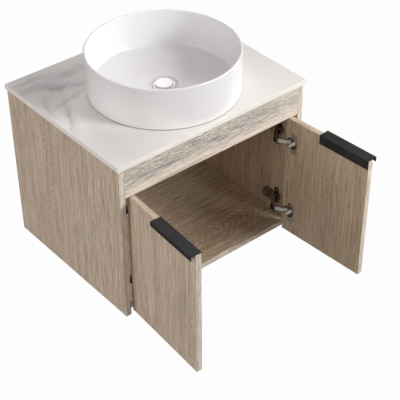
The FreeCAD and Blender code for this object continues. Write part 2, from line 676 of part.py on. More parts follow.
def front_link(side, hinge):
    """The broad link next to the door's edge, rolled round its pin."""
    z = hinge_height(hinge)
    pivot = link_path(side, "front")[0]
    low = f"({z} - front_half)"
    high = f"({z} + front_half)"
    eye = rod((0, 0, 1), "link_eye", "2 * front_half", *pivot, low)
    pin = rod((0, 0, 1), "pin_radius + pin_gap", "2 * front_half", *pivot, low)
    return cut(fuse(eye, *bent_strip(side, "front", low, high, "link_thick")), pin)


def rear_link(side, hinge):
    """The two narrow strips above and below the front link, joined by a sleeve on their pin."""
    z = hinge_height(hinge)
    pivot = link_path(side, "rear")[0]
    sleeve = rod((0, 0, 1), "link_eye", "2 * rear_high", *pivot, f"{z} - rear_high")
    upper = bent_strip(side, "rear", f"({z} + rear_low)", f"({z} + rear_high)", "link_thick / 2")
    lower = bent_strip(side, "rear", f"({z} - rear_high)", f"({z} - rear_low)", "link_thick / 2")
    pin = rod((0, 0, 1), "pin_radius + pin_gap", "2 * rear_high", *pivot, f"{z} - rear_high")
    return cut(fuse(sleeve, *upper, *lower), pin)


def links(name, side):
    """The links of one door's two hinges, turned as far as the open door turns them."""
    for link, make in (("front", front_link), ("rear", rear_link)):
        pair = name_part(group(*[make(side, hinge) for hinge in HINGES]), f"{name}_{link}_links")
        pivot = link_path(side, link)[0]
        turn_about(pair, *pivot, f"{-side} * door_open * {link}_ratio")


def hinge_pins(name, side):
    """The fixed pins across each arm's cheeks."""
    pins = [rod((0, 0, 1), "pin_radius", "2 * arm_high", *link_path(side, link)[0],
                f"{hinge_height(hinge)} - arm_high") for hinge in HINGES for link in ("front", "rear")]
    name_part(group(*pins), f"{name}_hinge_pins")


def hinges():
    """All four hinges."""
    for name, side in SIDES.items():
        for hinge in HINGES:
            hinge_cup(name, side, hinge)
            mounting_plate(name, side, hinge)
            hinge_arm(name, side, hinge)
        links(name, side)
        hinge_pins(name, side)
        screws = [cup_screw(side, hinge, up) for hinge in HINGES for up in (-1, 1)]
        open_door(name_part(group(*screws), f"{name}_cup_screws"), side)
    places = [(side, hinge) for side in SIDES.values() for hinge in HINGES]
    name_part(group(*[plate_screw(side, hinge, up) for side, hinge in places for up in (-1, 1)]),
              "plate_screws")
    adjusters = []
    for side, hinge in places:
        for back in ("adjuster_front", "adjuster_rear"):
            head = rod((-side, 0, 0), "adjuster_head", "adjuster_thick", across(side, "arm_rise"),
                       behind(back), hinge_height(hinge))
            adjusters.append(fuse(head, adjuster(side, hinge, back)))
    name_part(group(*adjusters), "hinge_adjusters")


def check():
    """Stop if any object failed or any sub-part has no valid shape."""
    for item in document.Objects:
        if {"Invalid", "Error"} & set(item.State):
            raise RuntimeError(f"{item.Label} failed: {item.State}")
    for label, item in sub_parts.items():
        if item.Shape.isNull() or not item.Shape.isValid() or not item.Shape.Solids:
            raise RuntimeError(f"{label} has no valid shape")


def write():
    """Write each sub-part to its own file."""
    os.makedirs("parts", exist_ok=True)
    for label, item in sub_parts.items():
        item.Shape.exportStep(f"parts/{label}.step")


cabinet()
countertop()
basin()
drain()
plug()
for door_name, door_side in SIDES.items():
    door(door_name, door_side)
    handle(door_name, door_side)
hinges()
document.recompute()
check()
write()
print(len(sub_parts), "sub-parts")
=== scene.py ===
"""Looks for a wall-hung vanity with a round vessel basin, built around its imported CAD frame.

Row frame, metres: X to the right seen from the front, Y towards the wall, Z up.
"""
import json
from math import acos, atan2, cos, pi, radians, sin, tan

import bmesh
import bpy
from mathutils import Matrix, Vector


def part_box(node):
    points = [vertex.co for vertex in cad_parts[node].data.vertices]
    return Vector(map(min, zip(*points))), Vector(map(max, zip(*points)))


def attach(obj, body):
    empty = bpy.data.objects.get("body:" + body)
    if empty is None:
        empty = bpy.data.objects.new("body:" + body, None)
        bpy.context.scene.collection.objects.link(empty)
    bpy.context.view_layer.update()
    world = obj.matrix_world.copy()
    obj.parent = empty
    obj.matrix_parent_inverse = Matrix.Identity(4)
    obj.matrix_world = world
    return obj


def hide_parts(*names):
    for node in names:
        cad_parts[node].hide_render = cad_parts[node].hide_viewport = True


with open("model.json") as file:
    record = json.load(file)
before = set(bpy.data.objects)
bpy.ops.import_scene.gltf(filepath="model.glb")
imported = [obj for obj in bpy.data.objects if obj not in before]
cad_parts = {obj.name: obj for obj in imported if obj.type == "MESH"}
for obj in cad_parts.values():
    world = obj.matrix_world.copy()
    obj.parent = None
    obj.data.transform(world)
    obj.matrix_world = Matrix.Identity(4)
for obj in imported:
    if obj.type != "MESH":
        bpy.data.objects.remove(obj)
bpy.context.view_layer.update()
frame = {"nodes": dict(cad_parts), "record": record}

MM = 0.001
TOP_LOW, TOP_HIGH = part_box("countertop")
BASIN_LOW, BASIN_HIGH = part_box("vessel_basin")
AXIS = (BASIN_LOW + BASIN_HIGH) / 2
ON_SLAB = Vector((AXIS.x, AXIS.y, TOP_HIGH.z))
SIDES = ("left", "right")
BODY_OF = {node: body for body, nodes in frame["record"]["behaviour"]["bodies"].items() for node in nodes}
SLOT_OF = {part["node"]: part["material_slot"] for part in frame["record"]["subparts"]}


# ---------------------------------------------------------------- material helpers

class Graph:
    """A material's node tree, with one short method for each kind of node that it needs."""

    def __init__(self, name):
        self.material = bpy.data.materials.new(name)
        self.material.use_nodes = True
        self.tree = self.material.node_tree
        self.shader = self.tree.nodes["Principled BSDF"]
        self.place = self.add("ShaderNodeTexCoord").outputs["Object"]

    def add(self, kind, inputs=None, **settings):
        """A new node. A socket is given by name or number, and takes a value or another node's output."""
        item = self.tree.nodes.new(kind)
        for key, value in settings.items():
            setattr(item, key, value)
        for key, value in (inputs or {}).items():
            self.set(item.inputs[key], value)
        return item

    def set(self, socket, value):
        """Give a socket a value or a link."""
        if isinstance(value, bpy.types.NodeSocket):
            self.tree.links.new(value, socket)
        else:
            socket.default_value = value

    def stretched(self, scale, shift=(0, 0, 0)):
        """Object coordinates in metres, multiplied by a scale for each axis."""
        inputs = {"Vector": self.place, "Scale": scale, "Location": shift}
        return self.add("ShaderNodeMapping", inputs).outputs[0]

    def noise(self, vector, scale=1.0, detail=2.0, roughness=0.5):
        inputs = {"Vector": vector, "Scale": scale, "Detail": detail, "Roughness": roughness}
        return self.add("ShaderNodeTexNoise", inputs).outputs["Fac"]

    def split(self, vector):
        return self.add("ShaderNodeSeparateXYZ", {0: vector}).outputs

    def math(self, operation, first, second=0.0, third=0.0):
        item = self.add("ShaderNodeMath", {0: first, 1: second, 2: third}, operation=operation)
        return item.outputs[0]

    def span(self, value, low, high, start=0.0, end=1.0):
        """Map a range smoothly onto another."""
        inputs = {"Value": value, "From Min": low, "From Max": high, "To Min": start, "To Max": end}
        return self.add("ShaderNodeMapRange", inputs, interpolation_type="SMOOTHSTEP").outputs[0]

    def bell(self, value, middle, reach):
        """1 at the middle, falling smoothly to 0 at a distance of reach."""
        away = self.math("ABSOLUTE", self.math("SUBTRACT", value, middle))
        return self.span(away, 0.0, reach, 1.0, 0.0)

    def ramp(self, value, stops):
        """A colour ramp from (place, colour) stops."""
        item = self.add("ShaderNodeValToRGB", {"Fac": value})
        elements = item.color_ramp.elements
        while len(elements) < len(stops):
            elements.new(0.5)
        for element, (place, colour) in zip(elements, stops):
            element.position = place
            element.color = (*colour, 1)
        return item.outputs["Color"]

    def mix(self, share, first, second, blend="MIX"):
        """Mix two colours, each a link or three numbers."""
        item = self.add("ShaderNodeMix", data_type="RGBA", blend_type=blend, clamp_factor=True)
        for number, value in ((0, share), (6, first), (7, second)):
            self.set(item.inputs[number], (*value, 1) if isinstance(value, tuple) else value)
        return item.outputs[2]

    def bump(self, height, strength, distance):
        inputs = {"Height": height, "Strength": strength, "Distance": distance}
        return self.add("ShaderNodeBump", inputs).outputs[0]

    def finish(self, colour, roughness, normal, **plain):
        """Connect the shader and set its uniform values by socket name."""
        self.set(self.shader.inputs["Base Color"], colour)
        self.set(self.shader.inputs["Roughness"], roughness)
        self.set(self.shader.inputs["Normal"], normal)
        for key, value in plain.items():
            self.shader.inputs[key.replace("_", " ")].default_value = value
        return self.material


def srgb(red, green, blue):
    """Linear colour from 0-255 screen values."""
    def linear(value):
        value /= 255
        return value / 12.92 if value <= 0.04045 else ((value + 0.055) / 1.055) ** 2.4
    return tuple(linear(value) for value in (red, green, blue))


# ---------------------------------------------------------------- materials

OAK = {"light": srgb(221, 203, 182), "middle": srgb(206, 187, 165), "dark": srgb(181, 161, 140),
       "fibre": srgb(164, 143, 122), "pore": srgb(134, 114, 97), "cool": srgb(148, 146, 152)}
LIMED = {"light": srgb(236, 225, 210), "middle": srgb(223, 211, 195), "dark": srgb(198, 185, 169),
         "fibre": srgb(182, 168, 151), "pore": srgb(150, 138, 126), "cool": srgb(118, 121, 132)}
# Painted shade, as multipliers: a darker tone for all inner faces, and for the edge bands whose grain lies
# flat.
INSIDE_PAINTED_SHADE = (0.83, 0.80, 0.74)
FLAT_BAND_PAINTED_SHADE = (0.93, 0.93, 0.93)


def laminate(name, along, shift, tones=OAK, depth=1.0, streaks=(), arches=None, shade=None):
    """Wood-look laminate. along is the grain's axis (0, 1 or 2), and shift moves the pattern.

    Each of the streaks is (across axis, middle, reach, low, high, strength, fineness, stretch): cool dashes
    along the grain. arches is (across axis, middle, start, half width, strength): cathedral figure. shade
    is a colour that multiplies the whole.
    """
    graph = Graph(name)

    def scale(across, lengthwise):
        values = [across] * 3
        values[along] = lengthwise
        return tuple(values)

    waver, arch_bend, rings_per_metre, rings_sway = 0.022, 26.0, 46.0, 4.0
    wander = graph.noise(graph.stretched(scale(7, 1.6), shift), detail=2)
    sway = graph.math("MULTIPLY", graph.math("SUBTRACT", wander, 0.5), waver)
    bent = graph.add("ShaderNodeVectorMath", {0: graph.place, 1: sway}, operation="ADD").outputs[0]
    places = graph.split(bent)

    def grain(across, lengthwise, detail=2.0, roughness=0.5):
        vector = graph.add("ShaderNodeMapping", {"Vector": bent, "Scale": scale(across, lengthwise),
                                                 "Location": shift}).outputs[0]
        return graph.noise(vector, detail=detail, roughness=roughness)

    def layer(share, strength, colour):
        return graph.mix(graph.math("MULTIPLY", share, strength * depth), base, colour)

    bands = grain(34, 0.8, 2)
    lines = grain(200, 3.6, 4, 0.65)
    fibre = grain(430, 15, 3, 0.62)
    pores = grain(1000, 42, 1)
    strokes = grain(330, 8, 1)
    base = graph.mix(graph.span(bands, 0.32, 0.68), tones["middle"], tones["light"])
    base = layer(graph.span(lines, 0.50, 0.66), 0.80, tones["dark"])
    base = layer(graph.span(lines, 0.46, 0.32), 0.75, tones["light"])
    base = layer(graph.span(fibre, 0.50, 0.64), 0.66, tones["fibre"])
    base = layer(graph.span(strokes, 0.60, 0.68), 0.70, tuple(min(1.0, 1.15 * c) for c in tones["light"]))
    base = layer(graph.span(strokes, 0.40, 0.31), 0.60, tones["fibre"])
    pore_share = graph.span(pores, 0.58, 0.70)
    base = layer(pore_share, 0.55, tones["pore"])
    if arches:
        axis, middle, start, half, strength = arches
        off = graph.math("SUBTRACT", places[axis], middle)
        curve = graph.math("MULTIPLY", graph.math("MULTIPLY", off, off), arch_bend)
        level = graph.math("ADD", graph.math("SUBTRACT", places[along], start), curve)
        wave = graph.math("MULTIPLY", bands, rings_sway)
        turn = graph.math("FRACT", graph.math("MULTIPLY_ADD", level, rings_per_metre, wave))
        ring = graph.math("MULTIPLY", graph.bell(turn, 0.5, 0.34), graph.bell(off, 0.0, half))
        base = layer(ring, strength, tones["dark"])
        base = layer(graph.math("MULTIPLY", ring, graph.span(fibre, 0.42, 0.62)), strength, tones["fibre"])
    for axis, middle, reach, low, high, strength, fineness, stretch in streaks:
        across = graph.bell(places[axis], middle, reach)
        length = graph.bell(places[along], (low + high) / 2, (high - low) / 2)
        dashes = graph.span(grain(fineness, stretch, 2, 0.6), 0.49, 0.60)
        share = graph.math("MULTIPLY", graph.math("MULTIPLY", across, length), dashes)
        base = layer(share, strength, tones["cool"])
    if shade:
        base = graph.mix(1.0, base, shade, "MULTIPLY")
    relief = graph.math("MULTIPLY_ADD", pore_share, -1.0, graph.math("MULTIPLY", lines, 0.5))
    roughness = graph.span(lines, 0.3, 0.7, 0.52, 0.64)
    return graph.finish(base, roughness, graph.bump(relief, 0.35, 0.0002), Specular_IOR_Level=0.3)


def stone():
    """The top's face: white stone look, clouded and veined with grey at its back left, with painted shade
    that greys it towards the right and the front.
    """
    graph = Graph("stone_top_face")
    x, y, _ = graph.split(graph.place)
    coarse = graph.noise(graph.stretched((6, 6, 6), (2.1, 0.7, 0)), detail=4, roughness=0.62)
    swing = graph.math("MULTIPLY", graph.math("SUBTRACT", coarse, 0.5), 0.10)
    fine = graph.noise(graph.stretched((26, 26, 26), (0.4, 3.3, 0)), detail=4, roughness=0.6)
    ripple = graph.math("MULTIPLY_ADD", graph.math("SUBTRACT", fine, 0.5), 0.022, swing)
    corner = graph.math("MULTIPLY", graph.span(x, -0.05, -0.22), graph.span(y, -0.30, -0.06))
    patch = graph.noise(graph.stretched((5, 16, 5), (1.3, 0.4, 0)), detail=4, roughness=0.6)
    cloud = graph.math("MULTIPLY", corner, graph.span(patch, 0.30, 0.66, 0.35, 1.0))
    # Painted shade: the ground greys towards the right and the front.
    painted_shade_share = graph.math("MAXIMUM", graph.span(x, -0.30, 0.22), graph.span(y, -0.26, -0.44))
    ground = graph.mix(painted_shade_share, srgb(246, 244, 242), srgb(231, 229, 225))
    colour = graph.mix(graph.math("MULTIPLY", cloud, 0.55), ground, srgb(200, 199, 201))

    def vein(axis, slope, offset, width, low, high, strength):
        """A vein along a wavy line: one coordinate against the other, between low and high along it."""
        along, across = (x, y) if axis == 0 else (y, x)
        line = graph.math("ADD", graph.math("MULTIPLY_ADD", along, -slope, across), ripple)
        thin = graph.bell(line, offset, width)
        length = graph.bell(along, (low + high) / 2, (high - low) / 2)
        broken = graph.span(fine, 0.30, 0.60, 0.35, 1.0)
        share = graph.math("MULTIPLY", graph.math("MULTIPLY", thin, length), broken)
        return graph.math("MULTIPLY", share, strength)

    veins = ((0, -0.30, -0.160, 0.034, -0.36, -0.06, 0.60), (0, -0.30, -0.166, 0.008, -0.33, -0.05, 0.50),
             (0, 0.15, -0.035, 0.018, -0.22, -0.04, 0.50), (0, 0.25, -0.105, 0.010, -0.31, -0.10, 0.45),
             (1, 0.40, -0.155, 0.016, -0.34, -0.11, 0.42), (1, 0.12, -0.252, 0.014, -0.24, -0.08, 0.40),
             (1, 0.55, -0.120, 0.005, -0.38, -0.14, 0.30), (0, -0.12, -0.060, 0.020, -0.34, -0.16, 0.45))
    for values in veins:
        colour = graph.mix(vein(*values), colour, srgb(158, 157, 162))
    grain = graph.noise(graph.place, 900, 2)
    colour = graph.mix(graph.span(grain, 0.3, 0.7, 0.0, 0.06), colour, srgb(208, 205, 201))
    roughness = graph.span(grain, 0.3, 0.7, 0.24, 0.31)
    return graph.finish(colour, roughness, graph.bump(grain, 0.05, 0.0001), Specular_IOR_Level=0.2)


def speckled(name, light, dark, speck, roughness, relief=0.06, **plain):
    """A plain moulded, glazed or coated surface: slow tone drift, fine grain and a slight relief."""
    graph = Graph(name)
    drift = graph.noise(graph.place, 11, 3)
    grain = graph.noise(graph.place, speck, 3)
    colour = graph.mix(graph.span(drift, 0.3, 0.7), light, dark)
    colour = graph.mix(graph.span(grain, 0.55, 0.75, 0.0, 0.35), colour, tuple(0.8 * c for c in dark))
    rough = graph.span(grain, 0.3, 0.7, roughness * 0.9, roughness * 1.12)
    return graph.finish(colour, rough, graph.bump(grain, relief, 0.0001), **plain)


def brushed(name, light, dark, along, roughness, **plain):
    """Drawn or rolled metal with fine lines along one axis, and slow tarnish."""
    graph = Graph(name)
    scale = [2600] * 3
    scale[along] = 60
    lines = graph.noise(graph.stretched(tuple(scale)), detail=3)
    tarnish = graph.noise(graph.place, 60, 4)
    colour = graph.mix(graph.span(lines, 0.3, 0.7), light, dark)
    colour = graph.mix(graph.span(tarnish, 0.5, 0.8, 0.0, 0.5), colour, tuple(0.7 * c for c in dark))
    rough = graph.span(tarnish, 0.3, 0.7, roughness * 0.8, roughness * 1.25)
    return graph.finish(colour, rough, graph.bump(lines, 0.08, 0.00005), Metallic=1.0, **plain)


# ---------------------------------------------------------------- mesh helpers

# Bevel widths, and the distances within which points are one.
ARRIS = 0.0008
FOLD = 0.0005
FINE_EDGE = 0.0003
LINK_EDGE = 0.00015
WELD = 0.000002
TINY = 0.0000005


def cad_copy(node):
    """A CAD node's mesh, welded and with its flat faces made whole again."""
    mesh = bmesh.new()
    mesh.from_mesh(frame["nodes"][node].data)
    bmesh.ops.remove_doubles(mesh, verts=mesh.verts, dist=WELD)
    bmesh.ops.dissolve_limit(mesh, angle_limit=radians(0.5), verts=mesh.verts, edges=mesh.edges)
    return mesh


def softened(node, width, segments=2, shortest=0.0):
    """A CAD node's shape with its sharp edges rounded by a small bevel, apart from the short ones."""
    mesh = cad_copy(node)
    sharp = radians(35)
    edges = [edge for edge in mesh.edges if edge.is_manifold and edge.calc_face_angle(0) > sharp
             and edge.calc_length() > shortest]
    bmesh.ops.bevel(mesh, geom=edges, offset=width, segments=segments, profile=0.5, affect="EDGES",
                    clamp_overlap=True)
    return mesh


def piece(name, mesh, materials, node, slot=None, smooth=radians(30)):
    """Turn a bmesh into a piece that stands for a CAD node and moves with its body."""
    data = bpy.data.meshes.new(name)
    bmesh.ops.recalc_face_normals(mesh, faces=mesh.faces)
    mesh.to_mesh(data)
    mesh.free()
    for polygon in data.polygons:
        polygon.use_smooth = True
    data.set_sharp_from_angle(angle=smooth)
    for material in materials:
        data.materials.append(material)
    item = bpy.data.objects.new(name, data)
    bpy.context.scene.collection.objects.link(item)
    item.modifiers.new("weighted_normals", "WEIGHTED_NORMAL").keep_sharp = True
    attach(item, BODY_OF[node])
    slot or SLOT_OF[node]
    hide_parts(node)


def paint(node, material):
    """Give a CAD node its material."""
    slots = frame["nodes"][node].data.materials
    slots.clear()
    slots.append(material)


# ---------------------------------------------------------------- camera, light and floor

def camera():
    """A long lens, looking down from the front left at the top's front edge."""
    edge = Vector((0, TOP_LOW.y, TOP_HIGH.z))
    heading, pitch, roll = radians(39.671), radians(37.545), radians(-0.350)
    from_edge = Vector((-1.5247, -1.7717, 1.5579))
    forward = Vector((sin(heading) * cos(pitch), cos(heading) * cos(pitch), -sin(pitch)))
    right = Vector((cos(heading), -sin(heading), 0))
    up = right.cross(forward)
    level = right * cos(roll) + up * sin(roll)
    upright = up * cos(roll) - right * sin(roll)
    data = bpy.data.cameras.new("camera")
    data.lens = 104.30
    data.sensor_width = 36
    item = bpy.data.objects.new("camera", data)
    turn = Matrix((level, upright, -forward)).transposed().to_4x4()
    item.matrix_world = Matrix.Translation(edge + from_edge) @ turn
    bpy.context.scene.collection.objects.link(item)
    bpy.context.scene.camera = item


LIGHTS = (("left_softbox", (-4.4, -1.0, 1.4), 6.0, 146), ("back_softbox", (1.25, 1.70, 1.90), 1.2, 10),
          ("key", (1.26, -2.57, 1.40), 0.8, 62), ("right_softbox", (2.8, -1.2, 1.3), 1.6, 36))
LIGHT_TARGET = Vector((0, -0.3, -0.1))
ROOM_COLOUR = (1.0, 0.88, 0.85, 1)
ROOM_STRENGTH = 0.24
ROOM_SHOWN = 1.0
FLOOR_SHOWN = 0.985
FLOOR_HEIGHT = -1.2
FLOOR_HALF = 8


def area_light(name, place, size, power):
    """A square soft light aimed at the cabinet's middle."""
    data = bpy.data.lights.new(name, "AREA")
    data.shape = "SQUARE"
    data.size = size
    data.energy = power
    item = bpy.data.objects.new(name, data)
    item.location = place
    item.rotation_euler = (LIGHT_TARGET - Vector(place)).to_track_quat("-Z", "Y").to_euler()
    bpy.context.scene.collection.objects.link(item)


def white_to_camera(tree, lit, output, strength):
    """Show plain white to the camera, and let the lit shader alone send light to the object."""
    rays = tree.nodes.new("ShaderNodeLightPath")
    blend = tree.nodes.new("ShaderNodeMixShader")
    white = tree.nodes.new("ShaderNodeEmission")
    white.inputs["Strength"].default_value = strength
    tree.links.new(rays.outputs["Is Camera Ray"], blend.inputs[0])
    tree.links.new(lit, blend.inputs[1])
    tree.links.new(white.outputs[0], blend.inputs[2])
    tree.links.new(blend.outputs[0], output)


def studio():
    """A dim warm room, four soft lights and a pale floor well below the hung cabinet. The camera sees the
    room and the floor as white."""
    scene = bpy.context.scene
    scene.view_settings.view_transform = "Standard"
    world = bpy.data.worlds.new("studio")
    scene.world = world
    world.use_nodes = True
    room = world.node_tree.nodes["Background"]
    room.inputs["Color"].default_value = ROOM_COLOUR
    room.inputs["Strength"].default_value = ROOM_STRENGTH
    white_to_camera(world.node_tree, room.outputs[0],
                    world.node_tree.nodes["World Output"].inputs["Surface"], ROOM_SHOWN)
    for light in LIGHTS:
        area_light(*light)
    mesh = bmesh.new()
    bmesh.ops.create_grid(mesh, x_segments=1, y_segments=1, size=FLOOR_HALF)
    bmesh.ops.translate(mesh, verts=mesh.verts, vec=(0, 0, FLOOR_HEIGHT))
    data = bpy.data.meshes.new("floor")
    mesh.to_mesh(data)
    mesh.free()
    floor = bpy.data.objects.new("floor", data)
    scene.collection.objects.link(floor)
    finish = speckled("studio_floor", (0.25, 0.25, 0.25), (0.24, 0.24, 0.24), 40, 0.9)
    tree = finish.node_tree
    white_to_camera(tree, tree.nodes["Principled BSDF"].outputs[0],
                    tree.nodes["Material Output"].inputs["Surface"], FLOOR_SHOWN)
    data.materials.append(finish)


# ---------------------------------------------------------------- shapes

def rounded(corners, steps=5):
    """An outline of (radius, height, round) corners in millimetres, with each round made of short chords."""
    points = []
    for index, (radius, height, size) in enumerate(corners):
        here = Vector((radius, height))
        if not size:
            points.append((here.x, here.y, 0.0))
            continue
        before = (Vector(corners[index - 1][:2]) - here).normalized()
        after = (Vector(corners[(index + 1) % len(corners)][:2]) - here).normalized()
        half = acos(max(-1.0, min(1.0, before.dot(after)))) / 2
        centre = here + (before + after).normalized() * (size / sin(half))
        start = here + before * (size / tan(half)) - centre
        end = here + after * (size / tan(half)) - centre
        first = atan2(start.y, start.x)
        sweep = (atan2(end.y, end.x) - first + pi) % (2 * pi) - pi
        for step in range(steps + 1):
            angle = first + sweep * step / steps
            points.append((centre.x + size * cos(angle), centre.y + size * sin(angle), 0.0))
    return points


def lathe(mesh, outline, base, segments=96, groove=None):
    """Turn a closed outline of (radius, height, groove depth) in millimetres about a vertical line."""
    rings = []
    for step in range(segments):
        angle = 2 * pi * step / segments
        ring = []
        for radius, height, depth in outline:
            reach = (radius - (depth * groove(angle, height) if depth else 0.0)) * MM
            place = base + Vector((reach * cos(angle), reach * sin(angle), height * MM))
            ring.append(mesh.verts.new(place))
        rings.append(ring)
    count = len(outline)
    for step, ring in enumerate(rings):
        follow = rings[(step + 1) % segments]
        for index in range(count):
            after = (index + 1) % count
            mesh.faces.new((ring[index], follow[index], follow[after], ring[after]))
    bmesh.ops.remove_doubles(mesh, verts=mesh.verts, dist=TINY)
    bmesh.ops.dissolve_degenerate(mesh, edges=mesh.edges, dist=TINY)


def thread(pitch):
    """The depth of a screw thread's groove at an angle and height, from 0 to 1."""
    return lambda angle, height: abs((height / pitch - angle / (2 * pi)) % 1.0 * 2 - 1)


def ribs(count):
    """The depth of the grooves between grip ribs round a nut, from 0 to 1."""
    return lambda angle, height: max(0.0, sin(count * angle)) ** 0.5


def threaded_wall(radius, start, end, pitch, depth):
    """The points of a thread's wall from one height to another, which fades out at both ends."""
    count = round(abs(end - start) / pitch * 6)
    return [(radius, start + (end - start) * step / count, depth * min(1.0, step / 6, (count - step) / 6))
            for step in range(count + 1)]


def with_wall(outline, wall):
    """An outline with more points in the straight wall where the first of them belongs."""
    radius, start = wall[0][:2]
    for index, (here, after) in enumerate(zip(outline, outline[1:] + outline[:1])):
        upright = abs(here[0] - radius) < 0.001 and abs(after[0] - radius) < 0.001
        if upright and (here[1] - start) * (after[1] - start) <= 0:
            return outline[:index + 1] + wall + outline[index + 1:]
    raise ValueError("the wall isn't on this outline")


# ---------------------------------------------------------------- cabinet

def edge_band(along, shift, tones, across, band_painted_shade):
    """Edge band with its grain along one axis, faint dashes all over, and a painted shade when one is given.
    """
    everywhere = (0.0, 9.0, -9.0, 9.0)
    return laminate("edge_band_" + "xyz"[along], along, shift, tones, 0.9,
                    ((across, *everywhere, 0.35, 420, 30),), shade=band_painted_shade)


# The edge bands whose grain runs along X or Y carry a painted shade that darkens them by 7%.
EDGES = [edge_band(0, (3, 1, 2), LIMED, 2, FLAT_BAND_PAINTED_SHADE), edge_band(1, (1, 6, 2), OAK, 2, FLAT_BAND_PAINTED_SHADE),
         edge_band(2, (5, 2, 8), LIMED, 1, None)]


def board(node, face, thick, inside=None, inward=1):
    """A laminated board: rounded arrises, wide faces of laminate, and narrow faces of edge band.

    thick is the axis of its thickness. The wide face on its inward side (1 or -1 along that axis) may have
    a laminate of its own.
    """
    mesh = softened(node, ARRIS, shortest=0.014)
    for polygon in mesh.faces:
        sizes = [abs(value) for value in polygon.normal]
        facing = sizes.index(max(sizes))
        polygon.material_index = 0 if facing == thick else 1 + (3 - thick - facing)
        if inside and facing == thick and polygon.normal[thick] * inward > 0:
            polygon.material_index = 1 + len(EDGES)
    faces = [face] + EDGES + ([inside] if inside else [])
    piece(node + "_board", mesh, faces, node, smooth=radians(50))


def upright(name, shift, streaks, arches=None, shade=None):
    """Laminate with upright grain. A streak is (middle along Y, reach, low, high, strength)."""
    dashes = tuple((1, *streak, 330, 16) for streak in streaks)
    return laminate(name, 2, shift, streaks=dashes, arches=arches, shade=shade)


def cabinet():
    """The carcass and the doors. The grain stands upright, and lies along the rails and the floor. The
    inner faces share one painted shade, which makes them darker than the outer faces."""
    # side_inner, door_inner, floor and back_inner carry the painted shade of the inner faces.
    side_inner = upright("side_inner_laminate", (7.0, 2.0, 3.0), ((-0.250, 0.020, -0.30, -0.05, 0.5),),
                         (1, -0.330, -0.20, 0.055, 0.3), INSIDE_PAINTED_SHADE)
    left_side = upright("left_side_laminate", (2.0, 5.0, 1.0), (
        (-0.360, 0.022, -0.38, -0.02, 0.9), (-0.302, 0.016, -0.10, 0.05, 0.5),
        (-0.130, 0.030, -0.36, -0.16, 0.35)), (1, -0.165, -0.10, 0.055, 0.35))
    right_side = upright("right_side_laminate", (7.0, 6.0, 1.0), (
        (-0.140, 0.024, -0.34, -0.06, 0.7), (-0.390, 0.018, -0.20, 0.02, 0.5)),
        (1, -0.280, -0.16, 0.055, 0.35))
    door_inner = upright("door_inner_laminate", (4.0, 3.0, 6.0), ((-0.640, 0.020, -0.35, -0.10, 0.4),),
                         (1, -0.600, -0.32, 0.05, 0.3), INSIDE_PAINTED_SHADE)
    left_door = upright("left_door_laminate", (1.0, 7.0, 4.0), (
        (-0.582, 0.020, -0.28, -0.04, 0.7), (-0.688, 0.018, -0.40, -0.12, 0.7)))
    right_door = upright("right_door_laminate", (3.0, 8.0, 5.0), (
        (-0.560, 0.018, -0.36, -0.10, 0.6), (-0.660, 0.020, -0.24, -0.06, 0.7)))
    rail = laminate("rail_laminate", 0, (4.0, 4.0, 4.0), LIMED, streaks=(
        (2, 0.026, 0.046, -0.90, 0.90, 0.75, 560, 90), (2, 0.002, 0.030, -0.90, 0.90, 0.9, 560, 22),
        (2, 0.036, 0.030, -0.60, 0.60, 0.5, 340, 40)))
    underside = laminate("underside_laminate", 0, (2.0, 9.0, 3.0))
    floor = laminate("floor_laminate", 0, (6.0, 1.0, 4.0), depth=1.5, shade=INSIDE_PAINTED_SHADE,
                     arches=(1, -0.370, -0.30, 0.10, 0.60))
    back_outer = laminate("back_outer_laminate", 0, (5.0, 4.0, 2.0))
    back_inner = laminate("back_inner_laminate", 0, (9.0, 3.0, 5.0), shade=INSIDE_PAINTED_SHADE)
    board("left_side_panel", left_side, 0, side_inner, 1)
    board("right_side_panel", right_side, 0, side_inner, -1)
    board("left_door", left_door, 0, door_inner, 1)
    board("right_door", right_door, 0, door_inner, -1)
    board("front_rail", rail, 1)
    board("bottom_panel", underside, 2, floor, 1)
    board("upper_back_rail", back_outer, 1, back_inner, -1)
    board("lower_back_rail", back_outer, 1, back_inner, -1)


# ---------------------------------------------------------------- top and basin

def top():
    """The slab: a polished face, and pale sawn edges with softened arrises."""
    mesh = softened("countertop", ARRIS, shortest=0.05)
    for polygon in mesh.faces:
        polygon.material_index = 0 if polygon.normal.z > 0.9 else 1
    edge = speckled("stone_top_edge", srgb(250, 247, 240), srgb(243, 238, 229), 160, 0.45, 0.15)
    piece("countertop_slab", mesh, [MATERIALS["stone_top"], edge], "countertop", smooth=radians(50))


def basin():
    """The bowl: thin straight walls, a coved floor that dips to the drain, and a foot ring under it."""
    mesh = bmesh.new()
    corners = [(24, 8, 0.6), (30.5, 8, 3), (38, 12.5, 14), (189.5, 14.5, 10), (191.5, 115, 2.6),
               (197.5, 115, 2.6), (195.5, 1.5, 1.2), (183.5, 1.5, 0.8), (182.5, 5.5, 1.5), (46, 5.5, 1.5),
               (45, 1.5, 0.8), (24, 1.5, 0.4)]
    lathe(mesh, rounded(corners, 8), ON_SLAB, 224)
    piece("vessel_basin_bowl", mesh, [MATERIALS["glazed_ceramic"]], "vessel_basin", smooth=radians(60))


def seals():
    """The bead of sealant that closes the basin's foot on the slab, and the ring round the drain's hole. The
    outer bead reaches out to just under the basin's outer edge and is near black: painted shade for the dark
    line under the basin.
    """
    mesh = bmesh.new()
    # Painted shade: this bead reaches out to 194.8 mm, under the basin's outer edge, to draw the shadow line
    # there.
    outer = [(184.5, 0, 0), (194.8, 0, 0.2), (194.4, 1.5, 0.5), (184.5, 1.5, 0)]
    inner = [(24, 0, 0), (42.3, 0, 0.3), (42.3, 1.5, 0.3), (24, 1.5, 0)]
    for ring, segments in ((outer, 192), (inner, 64)):
        lathe(mesh, rounded(ring, 3), ON_SLAB, segments)
    piece("basin_seal_beads", mesh, [MATERIALS["sealant"]], "basin_seals")


# ---------------------------------------------------------------- drain and plug

DRAIN_PITCH = 1.8
DRAIN_GROOVE = 0.7
FLANGE_FOOT = 7.9


